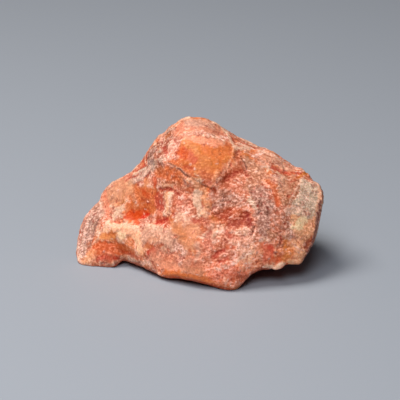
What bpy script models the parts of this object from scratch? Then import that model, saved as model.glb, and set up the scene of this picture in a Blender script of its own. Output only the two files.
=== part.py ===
"""A rough piece of triplite, the salmon-orange manganese phosphate, as one broken stone.

The stone is surveyed the way a hillside is. A rim runs all round it, break lines follow the edges
where its faces meet, and spot heights fill the faces between them. Each side's points are joined
into a sheet of triangles, the two sheets share the rim, and the closed cage that they make is
subdivided, roughened and cut flat where the stone rests.
"""
import math

import bmesh
import bpy
from mathutils import Vector
from mathutils.geometry import delaunay_2d_cdt

MM = 0.001
SAME_POINT = 0.001        # points closer than this, in millimetres, are one point
INSIDE_ONLY = 1           # the triangulation keeps what lies within its outline

# Driving dimensions, in millimetres and degrees.
STONE_LENGTH = 36.0       # along X, left end to right end
SHOW_FACE_LEAN = 22.0     # how far the broken front face leans back from upright
SURVEY_DISTANCE = 325.0   # the show face is surveyed from here, so what lies deeper looks smaller
SURVEY_HEIGHT = 13.8      # the surveyor's own height up the face
SURVEY_DEPTH = -5.8       # where along out a surveyed millimetre is a true one
RESTING_CUT = 0.45        # how much of the underside the flat resting spot takes off
SWELL = 0.35              # outward growth that gives back what the smoothing rounds off
TRIANGLES_KEPT = 0.65     # share of the triangles that the finished surface needs
BREAK_CREASE = 0.6        # how crisp the edges along the break lines stay, 0 to 1
SUBDIVISIONS = 2
LUMP_SIZE = 5.0           # spacing and height of the broad lumps on every face
LUMP_HEIGHT = 0.35
GRAIN_SIZE = 1.6          # spacing and height of the coarse grain
GRAIN_HEIGHT = 0.16
GROUND_WIDTH = 80.0       # of the block that cuts the resting spot
GROUND_DEPTH = 20.0

# The rim, clockwise from the lower left end, in millimetres in the show face's own directions:
# right, up along the face, and out toward someone who looks straight at it.
RIM = [
    (-18.2, 4.9, -10.6), (-18.2, 6.3, -11.0), (-18.0, 7.9, -11.1), (-17.3, 10.2, -11.0),
    (-16.1, 11.8, -11.0), (-14.8, 13.2, -11.0), (-14.2, 14.5, -10.9), (-13.0, 15.5, -10.7),
    (-11.8, 16.4, -10.4), (-9.9, 17.3, -9.9), (-9.1, 18.1, -9.6), (-8.3, 19.2, -9.2),
    (-7.6, 20.6, -8.8), (-6.6, 22.1, -8.3), (-5.4, 23.2, -7.8), (-3.8, 24.6, -7.0),
    (-2.3, 25.4, -6.5), (-1.0, 25.6, -6.3), (1.0, 25.3, -6.3), (2.3, 25.0, -6.3),
    (3.7, 23.9, -6.6), (4.9, 22.7, -7.3), (6.9, 22.1, -7.5), (8.9, 21.2, -7.2),
    (10.1, 20.8, -7.0), (12.3, 19.4, -6.5), (14.5, 18.3, -6.1), (15.7, 18.0, -5.9),
    (16.4, 16.0, -5.5), (17.3, 16.0, -5.1), (18.0, 14.9, -4.8), (18.2, 13.6, -4.5),
    (17.8, 11.4, -4.2), (17.4, 9.5, -3.9), (16.8, 7.6, -3.4), (16.2, 6.0, -2.8),
    (15.6, 4.8, -2.2), (14.9, 3.8, -1.8), (13.8, 3.7, -1.5), (12.7, 4.0, -1.2),
    (11.3, 2.8, -0.9), (10.6, 3.4, -0.9), (9.2, 3.0, -0.9), (7.9, 2.4, -0.7),
    (6.9, 1.5, -0.5), (5.9, 0.5, -0.2), (4.8, 0.1, 0.0), (3.2, 0.3, 0.1),
    (1.5, 0.9, -0.3), (-0.6, 1.4, -0.9), (-2.6, 1.7, -1.7), (-4.7, 2.2, -2.6),
    (-7.0, 3.2, -4.0), (-9.1, 4.4, -6.4), (-10.5, 4.9, -7.8), (-11.8, 4.9, -8.3),
    (-12.1, 4.0, -8.4), (-12.9, 3.6, -8.7), (-14.9, 3.6, -9.0), (-16.5, 3.7, -9.1),
    (-17.8, 4.0, -9.6),
]

# Break lines of the show face, in the same directions.
CAP_LIP = [
    (-7.0, 19.5, -5.6), (-5.8, 19.1, -3.7), (-4.7, 18.9, -2.3), (-3.5, 18.1, -1.2),
    (-2.6, 17.6, -0.5), (-1.5, 16.9, 0.1), (-0.1, 16.5, 0.5), (0.9, 15.7, 0.7), (1.9, 14.8, 0.6),
]
CAP_RIGHT_EDGE = [
    (1.9, 14.8, 0.6), (2.6, 15.7, 0.5), (3.4, 17.1, 0.0), (4.2, 18.4, -0.8), (4.8, 20.5, -2.5),
    (4.4, 22.1, -4.3),
]
CRACK_FLOOR = [
    (-6.0, 18.7, -4.2), (-4.9, 18.4, -2.8), (-3.7, 17.7, -1.5), (-2.8, 17.1, -0.8),
    (-1.7, 16.4, -0.2), (-0.3, 16.0, 0.2), (0.7, 15.2, 0.4), (1.8, 14.3, 0.4),
]
BESIDE_CAP = [
    (1.8, 14.3, 0.4), (3.1, 15.2, 0.3), (4.0, 16.6, -0.4), (4.9, 18.1, -1.2),
    (5.6, 20.3, -3.0), (5.4, 21.9, -5.2),
]
CREAM_RIDGE = [(-9.8, 16.8, -8.4), (-8.3, 17.5, -7.1), (-7.1, 18.3, -5.9), (-6.0, 18.7, -4.4)]
LEDGE_CREST = [
    (-14.3, 9.5, -8.5), (-12.4, 9.4, -7.1), (-10.4, 8.9, -5.6), (-8.0, 9.4, -4.3),
    (-6.1, 9.2, -3.0), (-4.4, 9.4, -1.7),
]
RECESS_FOOT = [(-12.6, 10.2, -8.1), (-10.6, 9.8, -6.9), (-8.2, 10.3, -5.5), (-6.2, 10.2, -4.1)]
BLOCK_STEP = [(-15.4, 7.3, -9.0), (-14.3, 7.2, -8.2), (-13.0, 7.2, -7.7)]
PALE_FACET_EDGE = [
    (14.3, 16.6, -3.5), (13.8, 14.4, -1.8), (12.7, 12.9, -0.7), (11.9, 12.1, 0.0),
    (12.4, 10.2, 0.0), (13.2, 8.0, -0.1),
]
PALE_FACET_RIM = [
    (16.0, 16.4, -4.6), (17.2, 15.0, -4.3), (17.6, 13.4, -3.7), (17.2, 10.6, -3.0),
    (16.4, 7.9, -2.2), (15.5, 5.8, -1.6),
]
BREAK_LINES = [
    CAP_LIP, CAP_RIGHT_EDGE, CRACK_FLOOR, BESIDE_CAP, CREAM_RIDGE, LEDGE_CREST, RECESS_FOOT,
    BLOCK_STEP, PALE_FACET_EDGE, PALE_FACET_RIM,
]

# Spot heights of the show face between its break lines.
SPOTS = [
    # the cap block
    (-1.5, 24.7, -3.9), (-3.7, 23.5, -4.4), (1.0, 24.4, -3.9), (-2.9, 21.8, -2.0),
    (-0.4, 22.1, -1.7), (1.9, 22.1, -2.2), (-1.8, 19.9, -0.6), (0.7, 19.2, 0.1),
    (2.5, 19.5, -0.3), (-4.4, 20.6, -3.0), (-5.9, 21.2, -5.0), (-0.3, 17.7, 0.4),
    (1.8, 16.8, 0.6),
    # left of the cap, down to the ledge
    (-5.1, 16.7, -2.7), (-7.3, 15.5, -4.6), (-8.8, 16.2, -6.4), (-4.4, 14.8, -2.2),
    (-11.0, 14.8, -7.8), (-13.2, 14.0, -9.1), (-12.0, 12.6, -8.2), (-9.2, 11.3, -7.0),
    (-8.6, 13.4, -6.2), (-6.6, 11.1, -4.2), (-5.1, 10.1, -2.7), (-2.2, 14.0, -0.9),
    # the middle
    (0.4, 11.4, 0.1), (-2.5, 8.9, 0.1), (-3.7, 10.7, -0.9), (-5.1, 7.5, -1.6),
    (0.0, 6.7, 0.7), (2.2, 8.2, 1.1), (-1.5, 4.2, -0.2), (-4.4, 4.2, -2.0),
    (0.7, 2.3, 0.3), (-2.2, 2.8, -1.0),
    # the left block below the ledge
    (-7.3, 6.7, -3.7), (-8.8, 5.7, -5.3), (-11.0, 7.5, -6.2), (-13.9, 5.9, -8.0),
    (-15.7, 5.6, -8.8), (-10.2, 5.1, -7.0), (-16.4, 7.5, -9.9), (-17.0, 5.3, -9.9),
    (-15.4, 9.7, -9.6), (-15.8, 10.9, -10.1), (-12.6, 5.0, -8.0),
    # the big granular face on the right
    (6.9, 20.2, -4.2), (9.9, 19.2, -3.5), (7.3, 18.4, -1.9), (10.2, 16.2, -0.6),
    (6.6, 13.3, 0.6), (9.9, 11.8, 0.8), (12.4, 14.6, -1.4), (5.1, 9.7, 1.0),
    (8.0, 8.2, 1.3), (11.0, 7.5, 0.6), (3.7, 6.0, 1.3), (6.6, 4.2, 0.8),
    (9.1, 4.4, 0.3), (4.4, 1.9, 0.7), (12.4, 5.3, -0.1), (14.3, 5.0, -1.0), (11.4, 3.5, -0.5),
    # the pale facet
    (12.9, 17.2, -4.3), (13.5, 9.6, -0.8), (15.4, 12.3, -2.0), (14.6, 14.6, -2.5),
]

# The hidden side, in plain X, Y and Z from the front foot: the outline of the flat spot under
# the stone, break lines and spot heights. Seen square on, all of it lies inside the rim.
FLAT_SPOT = [
    (4.6, 2.0, 0.0), (5.8, 3.8, 0.0), (8.2, 9.0, 0.0), (9.8, 12.6, 0.0), (3.5, 15.6, 0.0),
    (-5.5, 15.0, 0.0), (-14.2, 13.6, 0.0), (-16.2, 11.2, 0.0), (-13.0, 10.4, 0.0),
    (-12.4, 13.4, 0.0), (-9.2, 13.4, 0.0), (-7.6, 11.6, 0.0), (-3.0, 7.4, 0.0), (0.8, 4.9, 0.0),
]
BACK_SHOULDER = [
    (-15.2, 15.6, 6.2), (-11.5, 17.6, 9.4), (-6.5, 18.4, 13.6), (-2.2, 18.2, 17.4),
    (2.5, 18.9, 17.2), (7.5, 19.6, 13.9), (12.5, 18.8, 11.4), (15.8, 16.8, 9.4),
]
BACK_FOOT = [
    (-16.4, 15.0, 3.4), (-11.0, 17.0, 2.2), (-4.0, 18.4, 2.8), (3.0, 20.4, 3.6),
    (9.0, 18.8, 2.4), (14.0, 15.6, 3.8),
]
BACK_CORNER = [(2.5, 18.9, 17.2), (4.4, 21.4, 11.0), (3.0, 20.4, 3.6)]
HIDDEN_LINES = [FLAT_SPOT + FLAT_SPOT[:1], BACK_SHOULDER, BACK_FOOT, BACK_CORNER]
HIDDEN_SPOTS = [
    # the underside, outside the flat spot
    (12.2, 9.0, 1.6), (13.2, 12.0, 2.2), (10.2, 7.6, 1.0),
    # the back wall
    (-13.5, 17.0, 6.2), (-8.0, 18.4, 7.4), (-2.0, 19.2, 9.4), (-3.0, 19.0, 14.2),
    (9.2, 20.0, 9.6), (13.6, 18.4, 7.4), (8.2, 20.4, 5.6),
    # the back of the top, between the rim and the shoulder
    (-12.6, 16.2, 10.0), (-9.2, 17.0, 12.2), (-5.2, 17.2, 16.8), (0.0, 17.6, 19.4),
    (4.6, 18.0, 16.6), (10.0, 17.8, 14.3), (14.4, 16.6, 12.0),
]


def upright(right, up, out):
    """Turn a surveyed point of the show face into upright X, Y and Z."""
    lean = math.radians(SHOW_FACE_LEAN)
    true_size = 1 + (SURVEY_DEPTH - out) / SURVEY_DISTANCE
    right *= true_size
    up = SURVEY_HEIGHT + (up - SURVEY_HEIGHT) * true_size
    y = up * math.sin(lean) - out * math.cos(lean)
    z = up * math.cos(lean) + out * math.sin(lean)
    return Vector((right, y, z))


def seen_square_on(point):
    """Where an upright point falls on the show face's plane."""
    lean = math.radians(SHOW_FACE_LEAN)
    return Vector((point.x, point.y * math.sin(lean) + point.z * math.cos(lean)))


def add_line(points, line):
    """Append a line's points, sharing those that are there already, and return its edges."""
    indices = []
    for point in line:
        shared = [i for i, other in enumerate(points) if (other - point).length < SAME_POINT]
        if not shared:
            points.append(point)
            shared = [len(points) - 1]
        indices.append(shared[0])
    return list(zip(indices, indices[1:]))


def crease_edges(bm, pairs, crease):
    """Set the crease of each edge that joins a pair of vertices."""
    layer = bm.edges.layers.float["crease_edge"]
    for pair in pairs:
        edge = bm.edges.get(pair)
        if edge:
            edge[layer] = crease


def add_sheet(bm, rim, lines, spots):
    """Join one side's rim, lines and spots into triangles, with its lines creased."""
    points = [vert.co.copy() for vert in rim]
    outline = list(range(len(points)))
    edges = []
    for line in lines:
        edges += add_line(points, line)
    points += spots
    seen = [seen_square_on(point) for point in points]
    result = delaunay_2d_cdt(seen, edges, [outline], INSIDE_ONLY, SAME_POINT)
    triangles = result[2]
    sources = [origins[0] for origins in result[3]]
    verts = rim + [bm.verts.new(point) for point in points[len(rim):]]
    for triangle in triangles:
        bm.faces.new([verts[sources[i]] for i in triangle])
    crease_edges(bm, [(verts[start], verts[end]) for start, end in edges], BREAK_CREASE)


def make_cage():
    """The closed cage: the show face's sheet and the hidden side's, sharing the rim."""
    bm = bmesh.new()
    bm.edges.layers.float.new("crease_edge")
    rim = [bm.verts.new(upright(*point)) for point in RIM]
    lines = [[upright(*point) for point in line] for line in BREAK_LINES]
    add_sheet(bm, rim, lines, [upright(*point) for point in SPOTS])
    hidden_lines = [[Vector(point) for point in line] for line in HIDDEN_LINES]
    add_sheet(bm, rim, hidden_lines, [Vector(point) for point in HIDDEN_SPOTS])
    bmesh.ops.recalc_face_normals(bm, faces=bm.faces)
    scale = STONE_LENGTH / (max(v.co.x for v in bm.verts) - min(v.co.x for v in bm.verts))
    bmesh.ops.scale(bm, vec=(scale * MM,) * 3, verts=bm.verts)
    bmesh.ops.translate(bm, vec=(0, 0, (SWELL - RESTING_CUT) * MM), verts=bm.verts)
    return bm


def new_collection(name):
    collection = bpy.data.collections.new(name)
    bpy.context.scene.collection.children.link(collection)
    return collection


def new_object(name, bm, collection):
    mesh = bpy.data.meshes.new(name)
    bm.to_mesh(mesh)
    bm.free()
    obj = bpy.data.objects.new(name, mesh)
    collection.objects.link(obj)
    return obj


def add_roughness(obj, name, kind, size, height):
    """Displace a surface by a solid pattern: its spacing and its height in millimetres."""
    texture = bpy.data.textures.new(name, kind)
    texture.noise_scale = size * MM
    displace = obj.modifiers.new(name, "DISPLACE")
    displace.texture = texture
    displace.texture_coords = "LOCAL"
    displace.strength = height * MM
    displace.mid_level = 0.5


def make_resting_plane(collection):
    """A block whose top is the plane that the stone rests on."""
    size = (GROUND_WIDTH * MM, GROUND_WIDTH * MM, GROUND_DEPTH * MM)
    bm = bmesh.new()
    bmesh.ops.create_cube(bm, size=1.0)
    bmesh.ops.scale(bm, vec=size, verts=bm.verts)
    bmesh.ops.translate(bm, vec=(0, 0, -GROUND_DEPTH / 2 * MM), verts=bm.verts)
    cutter = new_object("resting_plane", bm, collection)
    cutter.hide_render = True
    cutter.display_type = "WIRE"
    return cutter


def make_triplite_material():
    material = bpy.data.materials.new("triplite, salmon orange")
    material.use_nodes = True
    shader = material.node_tree.nodes["Principled BSDF"]
    shader.inputs["Base Color"].default_value = (0.62, 0.20, 0.11, 1)
    shader.inputs["Roughness"].default_value = 0.45
    shader.inputs["Metallic"].default_value = 0.0
    shader.inputs["IOR"].default_value = 1.67
    return material


def make_stone(collection, cutter):
    stone = new_object("triplite_stone", make_cage(), collection)
    subdivide = stone.modifiers.new("subdivide", "SUBSURF")
    subdivide.levels = SUBDIVISIONS
    subdivide.render_levels = SUBDIVISIONS
    swell = stone.modifiers.new("swell", "DISPLACE")
    swell.strength = SWELL * MM
    swell.mid_level = 0.0
    add_roughness(stone, "lumps", "CLOUDS", LUMP_SIZE, LUMP_HEIGHT)
    add_roughness(stone, "grain", "CLOUDS", GRAIN_SIZE, GRAIN_HEIGHT)
    thin_out = stone.modifiers.new("thin out", "DECIMATE")
    thin_out.ratio = TRIANGLES_KEPT
    rest = stone.modifiers.new("resting spot", "BOOLEAN")
    rest.operation = "DIFFERENCE"
    rest.object = cutter
    stone.data.materials.append(make_triplite_material())
    return stone


def stand_on_origin(obj):
    """Move an object so that the origin is under the middle of its box, on the ground."""
    evaluated = obj.evaluated_get(bpy.context.evaluated_depsgraph_get())
    corners = [Vector(corner) for corner in evaluated.bound_box]
    for axis in (0, 1):
        low = min(corner[axis] for corner in corners)
        high = max(corner[axis] for corner in corners)
        obj.location[axis] -= (low + high) / 2


for old in list(bpy.data.objects):
    bpy.data.objects.remove(old)
parts = new_collection("rough triplite")
helpers = new_collection("helpers")
triplite = make_stone(parts, make_resting_plane(helpers))
stand_on_origin(triplite)
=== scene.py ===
import math

import bmesh
import bpy
import numpy as np
from mathutils import Matrix, Vector
from mathutils.bvhtree import BVHTree


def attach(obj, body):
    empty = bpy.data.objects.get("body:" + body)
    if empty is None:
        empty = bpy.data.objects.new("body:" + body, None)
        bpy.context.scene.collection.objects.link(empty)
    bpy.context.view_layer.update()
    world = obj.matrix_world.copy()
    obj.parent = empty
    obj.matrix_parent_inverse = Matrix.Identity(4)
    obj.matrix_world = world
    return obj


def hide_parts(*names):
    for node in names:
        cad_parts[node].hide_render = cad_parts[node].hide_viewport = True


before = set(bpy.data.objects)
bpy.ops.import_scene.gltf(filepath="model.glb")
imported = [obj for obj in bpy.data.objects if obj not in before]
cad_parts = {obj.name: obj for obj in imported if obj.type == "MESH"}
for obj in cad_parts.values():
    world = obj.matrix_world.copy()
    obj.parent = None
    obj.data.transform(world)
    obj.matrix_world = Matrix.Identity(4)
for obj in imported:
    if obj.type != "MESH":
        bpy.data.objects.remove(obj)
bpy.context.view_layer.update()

toMetres = 0.001  # the stone is shaped and painted in millimetres
print("frame loaded")

camera = {
    "aim": (0.19, -0.17, 9.9),  # millimetres, the middle of the picture
    "up": 22,  # degrees above the table
    "away": 325,  # millimetres
    "lens": 202.8,
    "sensor": 36,
    "nearest": 0.01,  # metres
}


def linearColour(hexCode):
    parts = [int(hexCode[i:i + 2], 16) / 255 for i in (1, 3, 5)]
    return [c / 12.92 if c <= 0.04045 else ((c + 0.055) / 1.055) ** 2.4 for c in parts]


def addNode(tree, kind, links=None, **settings):
    made = tree.nodes.new(kind)
    for name, value in settings.items():
        setattr(made, name, value)
    for socket, value in (links or {}).items():
        if isinstance(value, bpy.types.NodeSocket):
            tree.links.new(value, made.inputs[socket])
        else:
            made.inputs[socket].default_value = value
    return made


def newObject(name, data):
    made = bpy.data.objects.new(name, data)
    bpy.context.scene.collection.objects.link(made)
    return made


# Noise over points in millimetres

noiseTurn = np.array(Matrix.Rotation(0.9, 3, Vector((0.3, 0.8, 0.5))))  # no noise lines up with the axes
noiseMaking = {"seedShift": 7.7, "finer": 2, "weaker": 1.7, "seedStep": 31}  # the last three for each layer


def cornerNumbers(corner, seed):  # the same corner always gives the same number, 0 to 1
    x, y, z = (corner + 4096).astype(np.uint64).T
    mixed = x * np.uint64(2654435761) + y * np.uint64(2246822519) + z * np.uint64(3266489917)
    mixed = mixed + np.uint64(seed * 668265263)
    mixed = (mixed ^ (mixed >> np.uint64(15))) * np.uint64(2146121005)
    mixed = (mixed ^ (mixed >> np.uint64(13))) * np.uint64(2221713035)
    mixed = mixed ^ (mixed >> np.uint64(16))
    return (mixed & np.uint64(0xFFFFF)) / 0xFFFFF


def softNoise(places, size, seed):
    at = places @ noiseTurn.T / size + seed * noiseMaking["seedShift"]
    corner = np.floor(at).astype(np.int64)
    part = at - corner
    part = part * part * (3 - 2 * part)
    total = np.zeros(len(places))
    for step in np.ndindex(2, 2, 2):
        share = np.abs(1 - np.array(step) - part)
        total += share[:, 0] * share[:, 1] * share[:, 2] * cornerNumbers(corner + step, seed)
    return total


def roughNoise(places, size, seed, layers=4):
    total, weight = np.zeros(len(places)), 0.0
    for layer in range(layers):
        weaker = noiseMaking["weaker"] ** layer
        finer = size / noiseMaking["finer"] ** layer
        total += softNoise(places, finer, seed + noiseMaking["seedStep"] * layer) / weaker
        weight += 1 / weaker
    return total / weight  # about 0.5, mostly 0.25 to 0.75


def grainFaces(places, size, seed):
    at = places / size
    home = np.floor(at).astype(np.int64)
    nearest, height = np.full(len(places), np.inf), np.zeros(len(places))
    for step in np.ndindex(3, 3, 3):
        corner = home + step - 1
        shift = np.stack([cornerNumbers(corner, seed + k) for k in (0, 1, 2)], 1)
        tilt = np.stack([cornerNumbers(corner, seed + k) - 0.5 for k in (5, 6, 7)], 1)
        away = at - corner - shift
        gap = (away * away).sum(1)
        height = np.where(gap < nearest, (away * tilt).sum(1), height)
        nearest = np.minimum(nearest, gap)
    return height  # each grain has one flat tilted face


def smoothStep(values, low, high):
    part = ((values - low) / (high - low)).clip(0, 1)
    return part * part * (3 - 2 * part)


# The stone as an even, dense mesh

stoneMesh = {
    "weld": 0.001,  # millimetres, joins the corners of the CAD's faces
    "cell": 0.17,  # millimetres between points
    "softening": 5,  # rounds that take the steps of the cells out
    "softShare": 0.5,  # how far each round goes
}


def denseCopy(node):
    mesh = node.data.copy()
    mesh.transform(Matrix.Scale(1 / toMetres, 4))
    welded = bmesh.new()
    welded.from_mesh(mesh)
    bmesh.ops.remove_doubles(welded, verts=welded.verts, dist=stoneMesh["weld"])
    welded.to_mesh(mesh)
    welded.free()
    stone = newObject("triplite", mesh)
    even = stone.modifiers.new("even cells", "REMESH")
    even.mode = "VOXEL"
    even.voxel_size = stoneMesh["cell"]
    soften = stone.modifiers.new("cell steps out", "SMOOTH")
    soften.factor = stoneMesh["softShare"]
    soften.iterations = stoneMesh["softening"]
    bpy.context.view_layer.update()
    shaped = bpy.data.meshes.new_from_object(stone.evaluated_get(bpy.context.evaluated_depsgraph_get()))
    stone.modifiers.clear()
    stone.data = shaped
    shaped.name = "triplite"
    return stone


stone = denseCopy(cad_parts["triplite_stone"])
mesh = stone.data
pointCount = len(mesh.vertices)
print("dense mesh:", pointCount, "points,", len(mesh.polygons), "faces")


def readRows(rows, field):
    values = np.empty(pointCount * 3, np.float32)
    rows.foreach_get(field, values)
    return values.reshape(-1, 3).astype(float)


def writePoints(places):
    mesh.vertices.foreach_set("co", places.astype(np.float32).ravel())
    mesh.update()


def normalsAt(places):
    writePoints(places)
    return readRows(mesh.vertex_normals, "vector")


def surfaceTree(places):
    return BVHTree.FromPolygons([tuple(p) for p in places], [tuple(f.vertices) for f in mesh.polygons])


edges = np.empty(len(mesh.edges) * 2, np.int32)
mesh.edges.foreach_get("vertices", edges)
edges = edges.reshape(-1, 2)
neighbours = np.bincount(edges.ravel(), minlength=pointCount)


def averaged(values, rounds):
    for _ in range(rounds):
        total = np.zeros_like(values)
        for k in range(values.shape[1]):
            total[:, k] = np.bincount(edges[:, 0], values[edges[:, 1], k], pointCount)
            total[:, k] += np.bincount(edges[:, 1], values[edges[:, 0], k], pointCount)
        values = (values + total) / (1 + neighbours)[:, None]
    return values


# The show face: marks are given in millimetres right and up from the middle of the picture

slope = math.radians(camera["up"])
aim = np.array(camera["aim"])
towardsEye = np.array((0, -math.cos(slope), math.sin(slope)))
upThere = np.array((0, math.sin(slope), math.cos(slope)))
eye = aim + camera["away"] * towardsEye


def onShowFace(tree, path, spacing):
    found = []
    path = [np.array(p, float) for p in path]
    if len(path) == 1:
        path = path * 2
    for start, end in zip(path, path[1:]):
        steps = max(1, int(np.linalg.norm(end - start) / spacing))
        for k in range(steps + 1):
            right, up = start + (end - start) * k / steps
            target = aim + np.array((right, 0, 0)) + upThere * up
            hit = tree.ray_cast(Vector(eye), Vector(target - eye))
            if hit[0] is not None:
                found.append(hit[0])
    return np.array(found)


def nearPath(places, spots, reach):
    if not len(spots):
        return np.zeros(0, int), np.zeros(0)
    low, high = spots.min(0) - reach, spots.max(0) + reach
    close = np.flatnonzero(((places > low) & (places < high)).all(1))
    gap = np.full(len(close), np.inf)
    for spot in spots:
        gap = np.minimum(gap, ((places[close] - spot) ** 2).sum(1))
    gap = np.sqrt(gap)
    return close[gap < reach], gap[gap < reach]


# Broken faces: flat chips, then pits and cracks at their places

chips = {
    "cleavage": ((0.25, -0.75, 0.6), (-0.9, -0.35, 0.25), (0.35, 0.55, 0.75)),
    "lean": 0.35,  # how far a chip turns to a cleavage
    "scatter": 0.25,  # and any way by chance
    "sizes": ((50, 2, 4, 0.1), (90, 1, 2, 0.07)),  # number, radii, depth
    "shallow": 0.4,  # least share of that depth
    "deepest": 0.1,
    "ragged": (0.9, 5, 0.7, 0.6),  # edge noise: size, seed, least stretch, the rest
    "sameWay": 0.25,  # faces that look its way less are left
    "seed": 11,
}

grooves = (  # name, depth, width, path
    ("pit at its end", 0.45, 0.42, [(2, 1.5), (2.3, 1)]),
    ("fissure by the cap", 0.25, 0.18, [(5.9, 5.6), (6.4, 4.9), (6.7, 4)]),
    ("fissure under the red patch", 0.35, 0.22, [(7.8, -3.9), (7.5, -5.1)]),
    ("crack in the lower right", 0.18, 0.12, [(13.9, -5.6), (14.4, -6.3), (14.8, -6.9)]),
)

grooveSides = {
    "wander": (0.8, 21),  # size and seed of the noise in them
    "spacing": 0.06,  # millimetres between the points of a path
    "floor": 0.25,  # share of the width that is fully deep
    "reach": 2,  # widths that are looked at
}


def cutChips(places):
    order = np.random.default_rng(chips["seed"])
    axes = np.array(chips["cleavage"])
    axes = axes / np.linalg.norm(axes, axis=1)[:, None]
    size, seed, least, rest = chips["ragged"]
    stretch = least + rest * roughNoise(places, size, seed)
    for count, small, large, depth in chips["sizes"]:
        normals = normalsAt(places)
        picks = order.choice(pointCount, count)
        rolls = order.random((count, 5))
        for pick, roll in zip(picks, rolls):
            leaning = axes @ normals[pick]
            nearest = np.abs(leaning).argmax()
            axis = axes[nearest] * np.sign(leaning[nearest])
            facing = normals[pick] + axis * chips["lean"] * roll[0] + (roll[2:5] - 0.5) * chips["scatter"]
            facing /= np.linalg.norm(facing)
            radius = small + (large - small) * roll[1]
            away = places - places[pick]
            gap = np.sqrt((away * away).sum(1)) * stretch
            close = np.flatnonzero(gap < radius)
            over = away[close] @ facing + depth * (chips["shallow"] + (1 - chips["shallow"]) * roll[0])
            over = np.where(normals[close] @ facing > chips["sameWay"], over, 0).clip(0, chips["deepest"])
            places[close] -= facing * over[:, None]
    return places


def cutGrooves(places):
    normals = normalsAt(places)
    tree = surfaceTree(places)
    wander = roughNoise(places, *grooveSides["wander"]) - 0.5
    for name, depth, width, path in grooves:
        spots = onShowFace(tree, path, grooveSides["spacing"])
        close, gap = nearPath(places, spots, width * grooveSides["reach"])
        fall = 1 - smoothStep(gap + wander[close] * width, width * grooveSides["floor"], width)
        places[close] -= normals[close] * (depth * fall)[:, None]
    return places


# The even mesh rounds off thin lower edges, so the arch and the left foot get a little back

lowEdges = {
    "arch": ((-11.5, -4.5), 0.5, (1.5, 4)),  # along the stone, in front of, fades out between heights
    "archLower": (0.55, 0.65),  # share of the height, and at most this far
    "foot": ((-20, -12), 1, (1, 4)),
    "footForward": 0.6,
    "fade": 1.5,
    "flatSpot": (0.02, 0.5),  # chips, cracks and grain fade in between these heights
}


def inLowEdge(places, along, front, heights):
    across, deep, high = places.T
    fade = lowEdges["fade"]
    share = smoothStep(across, along[0] - fade, along[0]) * smoothStep(-across, -along[1] - fade, -along[1])
    share = share * smoothStep(-deep, -front - fade, -front + fade)
    return share * smoothStep(-high, -heights[1], -heights[0])


def pushLowEdges(places):
    share = inLowEdge(places, *lowEdges["arch"])
    part, most = lowEdges["archLower"]
    places[:, 2] -= share * np.minimum(places[:, 2] * part, most)
    places[:, 1] -= inLowEdge(places, *lowEdges["foot"]) * lowEdges["footForward"]
    return places


places = pushLowEdges(readRows(mesh.vertices, "co"))
firstPlaces = places.copy()
offTable = smoothStep(firstPlaces[:, 2], *lowEdges["flatSpot"])[:, None]  # 0 where the stone rests
for cut in (cutChips, cutGrooves):
    places = firstPlaces + (cut(places.copy()) - firstPlaces) * offTable
print("chips and cracks cut")

# Colour: tones with a hex colour, a grain from 0 clear and glassy to 1 sugary and frosted, and
# how many millimetres the tone stands proud or lies deep

tones = {
    "peach": ("#de8d6c", 0.35, 0),
    "shell": ("#ce967c", 0.55, 0.08),
    "frost": ("#d19984", 1, 0.08),
    "orange": ("#d26e36", 0.15, -0.05),
    "flame": ("#c03f0b", 0.15, -0.15),
    "amber": ("#cc733b", 0.18, 0),
    "rust": ("#c25e2b", 0.28, -0.08),
    "crimson": ("#b13825", 0.3, -0.14),
    "rose": ("#ba5d44", 0.6, -0.03),
    "cream": ("#d5aa8e", 0.6, 0.09),
    "ochre": ("#bc6620", 0.4, -0.1),
    "brick": ("#ac4e2b", 0.5, -0.12),
    "taupe": ("#9a6d5e", 0.8, -0.08),
    "umber": ("#552008", 0.4, -0.35),
    "oxblood": ("#8e1e07", 0.3, -0.22),
    "apricot": ("#cf8661", 0.28, 0),
    "salmon": ("#d57c5d", 0.5, 0),
    "vermilion": ("#ba1907", 0.15, -0.2),
    "sienna": ("#c65a2a", 0.35, -0.14),
    "tan": ("#e29a6e", 0.6, 0.03),
    "beige": ("#ce8158", 0.6, -0.05),
    "ivory": ("#f4b28d", 0.45, 0.1),
    "rosyBrown": ("#c97252", 0.9, 0),
    "fawn": ("#a7694b", 0.6, 0),
    "mauve": ("#a86a52", 0.9, -0.02),
    "bone": ("#c9ac92", 0.8, 0.05),
    "blush": ("#e3ac91", 0.9, 0.07),
    "brown": ("#ab683a", 0.5, -0.15),
    "butter": ("#f6cca0", 0.5, 0.04),
    "dusk": ("#7c3d33", 0.6, 0),
}
paint = {name: np.array(linearColour(code) + [grain, rise]) for name, (code, grain, rise) in tones.items()}

stoneBody = (  # the stone's own tones, the last one on top: tone, amount, size, from, to, seed
    ("apricot", 0.8, 5, 0.46, 0.62, 41),
    ("rose", 0.6, 3.2, 0.5, 0.64, 42),
    ("rust", 0.75, 3.6, 0.54, 0.64, 43),
    ("mauve", 0.7, 4.4, 0.52, 0.62, 44),
    ("orange", 0.8, 2.4, 0.58, 0.66, 45),
    ("frost", 0.6, 1.6, 0.58, 0.68, 46),
    ("brick", 0.6, 2.2, 0.6, 0.68, 47),
    ("cream", 0.8, 2.6, 0.59, 0.66, 48),
    ("crimson", 0.7, 2.8, 0.6, 0.67, 49),
)

stoneVeins = (  # thin seams through the whole stone, in the same way
    ("cream", 0.75, 7, 0.94, 0.985, 51),
    ("blush", 0.6, 4, 0.95, 0.99, 52),
    ("oxblood", 0.55, 5, 0.955, 0.99, 53),
)

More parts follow.
